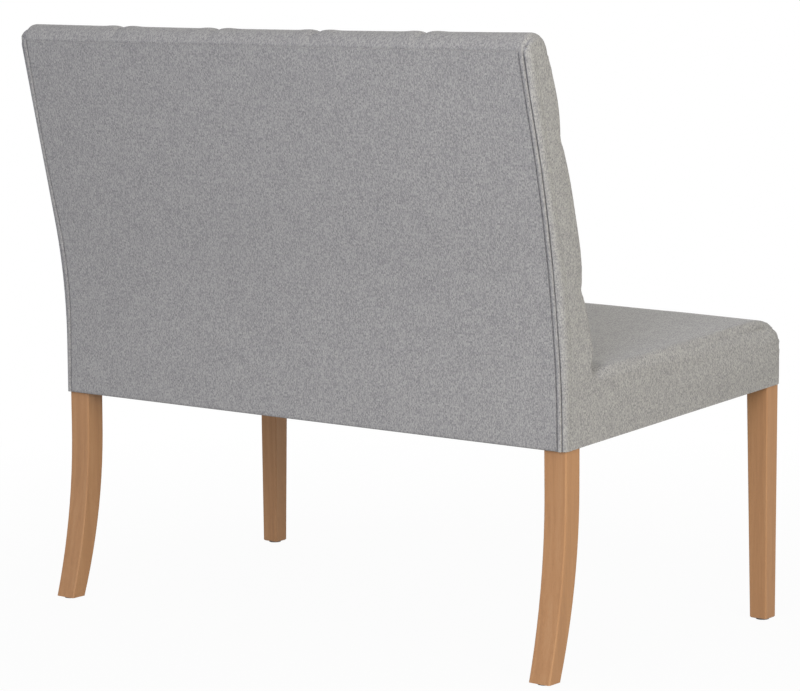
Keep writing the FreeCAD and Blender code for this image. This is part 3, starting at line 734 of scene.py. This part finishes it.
def topLine(x, t):
    # sagging top edge with a notch over each outer button
    line = bench["top"] - t["topSag"] * (1 - (x / bench["rearHalf"]) ** 2)
    for column in t["columns"]:
        away = np.abs(np.abs(x) - column)
        line = line + t["topBump"] * np.exp(-((away - t["bumpPlace"]) / t["bumpWidth"]) ** 2)
        line = line - t["topNotch"] * np.exp(-(away / t["notchWidth"]) ** 2)
    return line


def roundEdge(p, axis, inward, bend, reach, chosen=True):
    # draws the edge between a side of the back and another face onto a quarter circle
    out = np.abs(p[:, 0]) - bench["rearHalf"] + bend
    scale = np.minimum(reach / np.hypot(np.maximum(out, 1e-6), np.maximum(inward, 1e-6)), 1)
    corner = (out > 0) & (inward > 0) & chosen
    p[:, 0] -= np.where(corner, np.sign(p[:, 0]) * out * (1 - scale), 0)
    p[:, axis] -= np.where(corner, inward * (1 - scale), 0)


def holdBack(p, n, x, y, z, s, t):
    # the buttoned front, then the domed top with its dropped and rounded ends
    fall = sideFall(x, s)
    notSide = 1 - smoothStep(0.75, 0.97, np.abs(n[:, 0]))
    front = smoothStep(0.05, 0.35, -n[:, 1]) * notSide * smoothStep(0.482, 0.500, z) * (y > 0.05)
    form = foamLine(z) - tuftSwell(t, x, z) + fall - tuckFolds(t, x, z)
    p[:, 1] += (form - y) * front * s["formHold"]

    browZ, seamZ = bench["top"] - s["browDrop"], bench["panelTop"]
    browY = foamLine(browZ) - tuftSwell(t, x, np.full_like(x, browZ)) + fall
    seamY = rearLine(seamZ) - 0.001
    middle, half = (browY + seamY) / 2, (seamY - browY) / 2
    rise = topLine(x, t) - fall * s["topFall"] - (browZ + seamZ) / 2
    radius = (half ** 2 + rise ** 2) / (2 * rise)
    upZ = z - (topLine(x, t) - fall * s["topFall"] - radius)
    scale = radius / np.hypot(p[:, 1] - middle, upZ)
    above = smoothStep(browZ - 0.003, browZ + 0.006, z) * notSide
    p[:, 1] += (p[:, 1] - middle) * (scale - 1) * above
    p[:, 2] += upZ * (scale - 1) * above

    toFront = np.clip((middle - p[:, 1]) / half, 0, 1) ** 2 * smoothStep(0.060, 0.010, bench["top"] - z)
    toEnd = smoothStep(0.040, 0.004, bench["rearHalf"] - np.abs(x)) * (y > 0.05)
    p[:, 2] -= s["cornerDrop"] * toFront * toEnd
    dome = topLine(x, t) - radius + np.sqrt(np.maximum(radius ** 2 - (p[:, 1] - middle) ** 2, 0))
    bend = s["topRound"]
    roundEdge(p, 2, p[:, 2] - dome + bend, bend, bend, z > seamZ - 0.004)


def holdSeat(p, n, x, y, z, s):
    # crowned top and rolled front
    share = np.clip(np.abs(x) / seatHalf(y), 0, 1)
    depth, height = s["rollDepth"], s["rollHeight"]
    ahead = np.maximum((bench["frontY"] - s["frontOut"] + depth - y) / depth, 0)
    top = bench["sideHeight"] + bench["crown"] * (1 - s["crownFall"] * share ** 2)
    up = np.maximum(z - seatBase(y) - top + height, 0) / height
    away = np.hypot(ahead, up) + 1e-6
    seat = (1 - smoothStep(0.45, 0.85, np.abs(n[:, 0]))) * smoothStep(-0.25, -0.05, n[:, 2])
    seat = seat * smoothStep(0.030, 0.065, foamLine(z) - y) * (away > 0.6) * (away < 1.4) * s["formHold"]
    p[:, 1] += depth * ahead * (1 - 1 / away) * seat
    p[:, 2] += height * up * (1 / away - 1) * seat


def foldCorners(pad, s):
    # crease of the folded cloth at each top corner, from the band up over the edge and along the side
    p = points(pad)
    n = normals(pad)
    seam = bench["panelTop"]
    ahead = rearLine(seam) - p[:, 1]
    line = bench["rearHalf"] - s["foldInset"] + s["foldShift"] * np.clip(ahead / s["foldRun"], 0, 1)
    fold = np.exp(-((np.abs(p[:, 0]) - line) / s["foldWidth"]) ** 2) * (1 - n[:, 0] ** 2)
    fold = fold * smoothStep(seam - 0.001, seam + 0.003, p[:, 2]) * smoothStep(0.042, 0.028, ahead)
    setPoints(pad, p - n * (s["cornerFold"] * fold)[:, None])


def holdForm(pad, s, t):
    # holds the swelled cloth to its form, with the rear corners round enough to lie under their bands
    p = points(pad)
    n = normals(pad)
    x, y, z = p.T.copy()
    holdBack(p, n, x, y, z, s, t)
    holdSeat(p, n, x, y, z, s)
    bend = s["rearRound"]
    under = s["underBand"] * (1 - smoothStep(0.944, 0.954, z))
    roundEdge(p, 1, p[:, 1] - rearLine(p[:, 2]) + bend, bend, bend - under)
    setPoints(pad, p)
    foldCorners(pad, s)


def cutLevel(pad, height, **kept):
    # cuts along the slope of the seat, at a height over its lower edge
    onWhole(pad, bpy.ops.mesh.bisect, plane_co=(0, bench["rearY"], bench["edgeZ"] + height),
            plane_no=(0, math.tan(math.radians(bench["slope"])), 1), use_fill=True, **kept)


def trueFaces(pad, s):
    # brings the faces back to their true places after remeshing, and leaves the rounded edges between them
    p = points(pad)
    n = normals(pad)
    x, y, z = p.T.copy()
    upper = smoothStep(0.46, 0.52, z)
    half = seatHalf(y) * (1 - upper) + bench["rearHalf"] * upper - s["sideInset"]
    side = smoothStep(0.5, 0.75, np.abs(n[:, 0]))
    p[:, 0] += (np.sign(x) * half - x) * side
    inset = s["rearInset"] * (1 - smoothStep(0.950, 0.958, z))
    rear = smoothStep(0.55, 0.9, n[:, 1]) * (y > 0.15)
    p[:, 1] += (rearLine(z) - inset - y) * rear
    front = smoothStep(0.4, 0.75, -n[:, 1]) * (y < bench["frontY"] + 0.02) * (z < seatBase(y) + 0.045)
    p[:, 1] += (bench["frontY"] - s["frontOut"] - y) * front
    top = smoothStep(0.7, 0.95, n[:, 2])
    p[:, 2] += (bench["top"] - z) * top * (z > 0.94)
    flat = top * (z < 0.6) * smoothStep(0.045, 0.07, y - bench["frontY"])
    flat = flat * smoothStep(0.02, 0.05, foamLine(z) - s["backDepth"] - y + 0.03)
    p[:, 2] += (seatBase(y) + bench["sideHeight"] - z) * flat
    setPoints(pad, p)


def makePads(s, t):
    pad = joinPieces([backBlock(s), seatBlock(s)], "padBody")
    applyModifier(pad, "REMESH", mode="VOXEL", voxel_size=s["voxel"])
    applyModifier(pad, "SMOOTH", factor=0.5, iterations=s["smooth"])
    trueFaces(pad, s)
    print("pad remeshed,", len(pad.data.vertices), "points")
    p = points(pad)
    seatTop = smoothStep(0.3, 0.9, normals(pad)[:, 2]) * (p[:, 2] < 0.60)
    wide = np.clip(np.abs(p[:, 0]) / seatHalf(p[:, 1]), 0, 1)
    p[:, 2] += bench["crown"] * (1 - wide ** 2) * seatTop
    front = onFront(p, s)
    swell = s["firstTufts"] * tuftSwell(t, p[:, 0], p[:, 2])
    p[:, 1] -= (swell + s["frontGap"] - s["backDepth"]) * front
    setPoints(pad, p)
    pleat = 1 - smoothStep(0.004, 0.02, tuftSwell(t, p[:, 0], p[:, 2]) - s["pleatFloor"])
    held = np.clip(front * pleat, 0, 1)
    fromRear = np.abs(p[:, 1] - rearLine(p[:, 2]) + s["rearInset"])
    held = np.maximum(held, smoothStep(0.012, 0.004, fromRear))
    held = np.maximum(held, smoothStep(0.020, 0.006, p[:, 2] - seatBase(p[:, 1])))
    swellPad(pad, held, s)
    applyModifier(pad, "SUBSURF", levels=1, render_levels=1)
    holdForm(pad, s, t)
    cutLevel(pad, -s["underCut"], clear_inner=True)
    backPad, seatPad = copiesOf(pad, 2)
    for piece, name, upper in ((backPad, "backPad", True), (seatPad, "seatPad", False)):
        cutLevel(piece, s["creaseHeight"], clear_inner=upper, clear_outer=not upper)
        piece.name = piece.data.name = name
        finishCloth(piece)
    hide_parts("back_cover", "back_foam")
    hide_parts("seat_cover", "seat_foam")


makePads(padShape, tufts)
print("pads made")


# covered buttons, each with its gathered rim
buttonShape = {
    "radius": 0.0132,
    "segments": 42,
    "rings": 20,
    "lift": 0.0062,
    "dome": 0.56,
    "under": 0.35,
    "gathers": 14,
    "gatherDepth": 0.0004,
}


def makeButtons(b, t):
    first = startPiece("tuftButton", "uv_sphere", segments=b["segments"], ring_count=b["rings"],
                       radius=b["radius"])
    p = points(first)
    level = p[:, 2] / b["radius"]
    turn = np.arctan2(p[:, 1], p[:, 0])
    gather = b["gatherDepth"] * np.cos(b["gathers"] * turn)
    gather = gather * smoothStep(0.75, 0.1, level) * smoothStep(-1.0, -0.6, level)
    p[:, :2] *= (1 + gather / b["radius"])[:, None]
    p[:, 2] *= np.where(level > 0, b["dome"], b["under"])
    setPoints(first, p)
    spots = buttonSpots(t)
    copies = copiesOf(first, len(spots))
    for piece, (x, z) in zip(copies, spots):
        ahead = foamLine(z + 0.001) - foamLine(z - 0.001)
        out = Vector((0, -0.002, float(ahead))).normalized()
        place = Vector((x, float(foamLine(z)), z)) + out * b["lift"]
        turn = out.to_track_quat("Z", "Y").to_matrix().to_4x4()
        piece.data.transform(Matrix.Translation(place) @ turn)
    buttons = joinPieces(copies, "tuftButtons")
    finishCloth(buttons)
    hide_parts("tuft_buttons")


makeButtons(buttonShape, tufts)
print("buttons made")


# plain cloth panel over the back of the bench, its edges turned in at the seams and its hem folded under
panelShape = {
    "columns": 200,
    "rows": 230,
    "sideGap": 0.0158,
    "topGap": -0.0015,
    "hem": 0.024,
    "hemRound": 0.003,
    "tuck": 0.0040,
    "tuckWidth": 0.0012,
    "edgeSteps": (0.0, 0.0005, 0.0012, 0.0050),
    "thickness": 0.002,
    "wave": 0.0005,
}
seamLine = {"swing": 0.0022, "middle": 0.763, "wave": 0.40}


def seamWander(z):
    return seamLine["swing"] * np.cos(2 * np.pi * (z - seamLine["middle"]) / seamLine["wave"])


def makeRearPanel(s):
    panel = startPiece("rearPanel", "grid", x_subdivisions=s["columns"], y_subdivisions=s["rows"], size=2)
    p = points(panel)
    low, top = bench["edgeZ"], bench["panelTop"] - s["topGap"]
    rise = (p[:, 1] + 1) / 2 * (s["hem"] + top - low) - s["hem"]
    half = bench["rearHalf"] - s["sideGap"] + seamWander(low + np.maximum(rise, 0))
    steps = np.array(s["edgeSteps"])
    column = np.round((1 - np.abs(p[:, 0])) * s["columns"] / 2)
    fromSide = (1 - np.abs(p[:, 0])) * half
    fromSide = np.where(column < len(steps), steps[np.minimum(column, len(steps) - 1).astype(int)], fromSide)
    x = np.sign(p[:, 0]) * (half - fromSide)
    under = bench["rearY"] + np.minimum(rise, 0)
    y = np.where(rise < 0, under, rearLine(low + rise))
    z = np.where(rise < 0, seatBase(under), low + rise)
    turn = np.clip((rise + s["hemRound"]) / (2 * s["hemRound"]), 0, 1) * math.pi / 2
    inCorner = np.abs(rise) < s["hemRound"]
    y = np.where(inCorner, bench["rearY"] - s["hemRound"] * (1 - np.sin(turn)), y)
    z = np.where(inCorner, low + s["hemRound"] * (1 - np.cos(turn)), z)
    fromEdge = np.minimum(half - np.abs(x), np.where(rise > 0, top - z, 1.0))
    tuck = s["tuck"] * (1 - smoothStep(0, s["tuckWidth"], fromEdge))
    wave = np.sin(9.1 * x + 3.0 * z + 0.4) * np.sin(7.3 * z + 1.1) + 0.6 * np.sin(17.0 * x - 11.0 * z + 2.0)
    wave = wave * s["wave"] * smoothStep(0.0, 0.06, fromEdge) * smoothStep(0.36, 0.42, z)
    y = y - tuck * (rise > 0) + wave
    setPoints(panel, np.stack([x, y, z], axis=1))
    onWhole(panel, bpy.ops.mesh.flip_normals)
    applyModifier(panel, "SOLIDIFY", thickness=s["thickness"], offset=-1.0)
    finishCloth(panel)
    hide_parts("rear_panel", "rear_wadding")


makeRearPanel(panelShape)
print("rear panel made")


# narrow band sewn along each rear corner, between two open seams
bandShape = {
    "rows": 180,
    "across": 110,
    "inset": 0.0146,
    "width": 0.0068,
    "round": 0.0110,
    "seam": 0.0014,
    "seamEdge": 0.0006,
    "seamDepth": 0.0045,
    "underPanel": 0.004,
    "openSeam": 0.0014,
    "openZone": (0.885, 0.945),
    "openDepth": 0.6,
    "dome": 0.0010,
    "lift": 0.0003,
    "wing": 0.020,
    "wingDrop": 0.0040,
    "topSink": 0.0018,
    "sinkZone": (0.948, 0.957),
    "lowGap": 0.0005,
    "overTop": 0.002,
    "thickness": 0.0008,
}


def cornerPath(q, r):
    # place and outward way along the rounded corner: q runs from the rear (negative) to the side (positive)
    quarter = r * math.pi / 4
    turn = np.clip(q / quarter, -1, 1) * math.pi / 4 + math.pi / 4
    beyond = q - np.clip(q, -quarter, quarter)
    x = -r + r * np.sin(turn) + np.minimum(beyond, 0)
    y = -r + r * np.cos(turn) - np.maximum(beyond, 0)
    return x, y, np.sin(turn), np.cos(turn)


def makeBand(side, s):
    name = "cornerBandLeft" if side < 0 else "cornerBandRight"
    band = startPiece(name, "grid", x_subdivisions=s["across"], y_subdivisions=s["rows"], size=2)
    p = points(band)
    low, high = bench["edgeZ"] + s["lowGap"], bench["panelTop"] + s["overTop"]
    z = low + (p[:, 1] + 1) / 2 * (high - low)
    quarter = s["round"] * math.pi / 4
    start = s["round"] - quarter - s["inset"]
    end = start + s["width"]
    first = start - s["seam"] - s["underPanel"]
    last = quarter + s["wing"]
    q = first + (p[:, 0] + 1) / 2 * (last - first)
    sewn = q - seamWander(z)
    edge = s["seamEdge"]
    opened = smoothStep(*s["openZone"], z)
    far = end + s["seam"] + s["openSeam"] * opened
    beforeBand = 1 - smoothStep(start - edge, start + edge, sewn)
    seam = smoothStep(end - edge, end + edge, sewn) * (1 - smoothStep(far - edge, far + edge, sewn))
    height = s["dome"] * np.sin(np.pi * np.clip((sewn - start) / (end - start), 0, 1))
    height = height - s["seamDepth"] * np.maximum(beforeBand, seam * (1 + s["openDepth"] * opened))
    height = height + s["lift"] - s["wingDrop"] * smoothStep(quarter, last, q) ** 2
    height = height - s["topSink"] * smoothStep(*s["sinkZone"], z)
    x, y, nx, ny = cornerPath(q, s["round"])
    x = bench["rearHalf"] + x + nx * height
    y = rearLine(z) + y + ny * height
    setPoints(band, np.stack([side * x, y, z], axis=1))
    if side > 0:
        onWhole(band, bpy.ops.mesh.flip_normals)
    applyModifier(band, "SOLIDIFY", thickness=s["thickness"], offset=-1.0)
    onWhole(band, bpy.ops.mesh.normals_make_consistent, inside=False)
    finishCloth(band)
    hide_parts("corner_welt_left" if side < 0 else "corner_welt_right")
    row = slice(s["rows"] // 2 * (s["across"] + 1), (s["rows"] // 2 + 1) * (s["across"] + 1))


for side in (-1, 1):
    makeBand(side, bandShape)
print("corner bands made")


# black cloth stapled under the seat
dustShape = {
    "columns": 150,
    "rows": 78,
    "margin": 0.012,
    "frontLeg": (0.507, -0.2945),
    "rearLeg": (0.476, 0.192),
    "drop": 0.0008,
    "sag": 0.003,
    "sagZone": (0.02, 0.16),
    "pucker": 0.0006,
    "puckerReach": 0.02,
    "puckerFloor": -0.0001,
    "thickness": 0.0007,
}
stapleShape = {
    "pitch": 0.058,
    "size": (0.011, 0.0011, 0.0008),
    "round": 0.0003,
    "inset": 0.006,
    "fromLeg": 0.012,
    "sink": 0.0014,
    "alongFront": 17,
    "alongRear": 16,
    "alongSide": 9,
}


def makeDustCloth(s, pitch):
    cloth = startPiece("dustCloth", "grid", x_subdivisions=s["columns"], y_subdivisions=s["rows"], size=2)
    frontY, rearY = bench["frontY"] + s["margin"], bench["rearY"] - s["margin"]
    frontShare = s["frontLeg"][0] / (float(seatHalf(s["frontLeg"][1])) - s["margin"])
    rearShare = s["rearLeg"][0] / (float(seatHalf(s["rearLeg"][1])) - s["margin"])

    def ofY(v):
        return frontY + (v + 1) / 2 * (rearY - frontY)

    def atLeg(centre):
        atFront = ofY(centre.y) < s["frontLeg"][1] and abs(centre.x) > frontShare
        return atFront or (ofY(centre.y) > s["rearLeg"][1] and abs(centre.x) > rearShare)

    pickFaces(cloth, atLeg)
    bpy.ops.mesh.delete(type="FACE")
    bpy.ops.object.mode_set(mode="OBJECT")
    p = points(cloth)
    y = ofY(p[:, 1])
    half = seatHalf(y) - s["margin"]
    x = p[:, 0] * half
    fromSide = np.minimum(half - np.abs(x), np.minimum(y - frontY, rearY - y))
    droop = s["sag"] * smoothStep(*s["sagZone"], fromSide)
    fade = np.exp(-np.maximum(fromSide, 0) / s["puckerReach"])
    ripple = s["pucker"] * np.cos(2 * np.pi * (x + y) / pitch) * fade
    z = seatBase(y) - s["drop"] - droop - np.maximum(ripple, s["puckerFloor"])
    setPoints(cloth, np.stack([x, y, z], axis=1))
    onWhole(cloth, bpy.ops.mesh.flip_normals)
    applyModifier(cloth, "SOLIDIFY", thickness=s["thickness"], offset=1.0)
    giveLook(cloth, "dust_cloth")
    shadeSmooth(cloth, 40)
    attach(cloth, "root")
    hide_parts("dust_cover")


def makeStaples(s, cloth):
    # one staple, copied round the edge of the dust cloth
    first = startPiece("staple", "cube", size=1)
    setPoints(first, points(first) * np.array(s["size"]))
    pickEdges(first, lambda a, b: abs(a.x - b.x) > 0.001 and a.z < 0 and b.z < 0)
    bpy.ops.mesh.bevel(offset=s["round"], segments=2, affect="EDGES")
    bpy.ops.object.mode_set(mode="OBJECT")
    spots = []
    inset, gap = cloth["margin"] + s["inset"], s["fromLeg"]
    (frontX, frontEnd), (rearX, rearEnd) = cloth["frontLeg"], cloth["rearLeg"]
    rows = ((s["alongFront"], frontX - gap, bench["frontY"] + inset),
            (s["alongRear"], rearX - gap, bench["rearY"] - inset))
    for count, reach, y in rows:
        spots += [(x, y, 0.0) for x in np.linspace(-reach, reach, count)]
    lean = math.atan2(bench["frontHalf"] - bench["rearHalf"], bench["rearY"] - bench["frontY"])
    for y in np.linspace(frontEnd + gap, rearEnd - gap, s["alongSide"]):
        x = float(seatHalf(y)) - inset
        spots += [(side * x, y, math.pi / 2 + side * lean) for side in (-1, 1)]
    copies = copiesOf(first, len(spots))
    slope = Matrix.Rotation(-math.radians(bench["slope"]), 4, "X")
    for piece, (x, y, turn) in zip(copies, spots):
        place = Matrix.Translation((x, y, float(seatBase(y)) - cloth["drop"] - s["sink"]))
        piece.data.transform(place @ slope @ Matrix.Rotation(turn, 4, "Z"))
    staples = joinPieces(copies, "dustClothStaples")
    giveLook(staples, "steel")
    shadeSmooth(staples, 40)
    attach(staples, "root")


makeDustCloth(dustShape, stapleShape["pitch"])
makeStaples(stapleShape, dustShape)
print("dust cloth and staples made")


# floor, backdrop and light
studio = {
    "floorSize": 30,
    "floor": (0.53, 0.53, 0.53, 1),
    "floorGlow": 0.96,
    "glowZone": (0.7, 1.9),
    "worldLight": 0.555,
    "worldTint": (0.99, 0.985, 0.97, 1),
    "aim": (0, 0, 0.5),
}
lamps = {
    "sideKey": {"place": (-3.4, 1.3, 1.6), "size": 2.2, "power": 56.0, "colour": (1.0, 0.955, 0.76)},
    "rearFill": {"place": (-1.5, 3.8, 1.9), "size": 2.0, "power": 68.0, "colour": (0.865, 0.89, 1.0)},
    "overhead": {"place": (0.0, -0.3, 4.0), "size": 3.0, "power": 3.0, "colour": (1.0, 1.0, 1.0)},
    "frontKey": {"place": (2.2, -3.4, 1.3), "size": 2.2, "power": 50.0, "colour": (1.0, 0.98, 0.95)},
}


def seenDirectly(sh):
    # 1 for what the camera sees, by itself, in a reflection or through a clear piece
    path = sh.add("LightPath")
    seen = sh.math("MAXIMUM", path.other("Is Camera Ray"), path.other("Is Glossy Ray"))
    return sh.math("MAXIMUM", seen, path.other("Is Transmission Ray"))


def makeFloor(v):
    floor = startPiece("floor", "plane", size=v["floorSize"])
    material, sh, surface = newMaterial("paleFloor")
    setSockets(surface, {"Base Color": v["floor"], "Roughness": 0.9, "Specular IOR Level": 0.0})
    glow = sh.add("Emission", {}, {"Color": (1, 1, 1, 1), "Strength": 1.0})
    x = sh.add("SeparateXYZ", {}, {0: sh.add("TexCoord", {}, {}, 3)})
    y = x.other(1)
    share = sh.math("SQRT", x * x + y * y).spread(*v["glowZone"], v["floorGlow"], 1.0)
    plain = Shade(sh.tree, surface.outputs[0])
    mixed = sh.add("MixShader", {}, {0: seenDirectly(sh) * share, 1: plain, 2: glow})
    link(mixed, sh.tree.nodes["Material Output"], "Surface")
    floor.data.materials.append(material)


def makeWorld(v):
    world = bpy.data.worlds.new("studio")
    scene.world = world
    world.use_nodes = True
    seen = seenDirectly(Shade(world.node_tree))
    backdrop = world.node_tree.nodes["Background"]
    link(seen.blend(v["worldTint"], (1, 1, 1, 1)), backdrop, "Color")
    link(seen * (1 - v["worldLight"]) + v["worldLight"], backdrop, "Strength")


def makeLamp(name, aim, place, size, power, colour):
    data = bpy.data.lights.new(name, "AREA")
    data.shape = "DISK"
    data.size = size
    data.energy = power
    data.color = colour
    light = bpy.data.objects.new(name, data)
    scene.collection.objects.link(light)
    light.location = place
    light.rotation_mode = "QUATERNION"
    light.rotation_quaternion = (Vector(aim) - Vector(place)).to_track_quat("-Z", "Y")


makeFloor(studio)
makeWorld(studio)
for name, lamp in lamps.items():
    makeLamp(name, studio["aim"], **lamp)
print("studio lit")
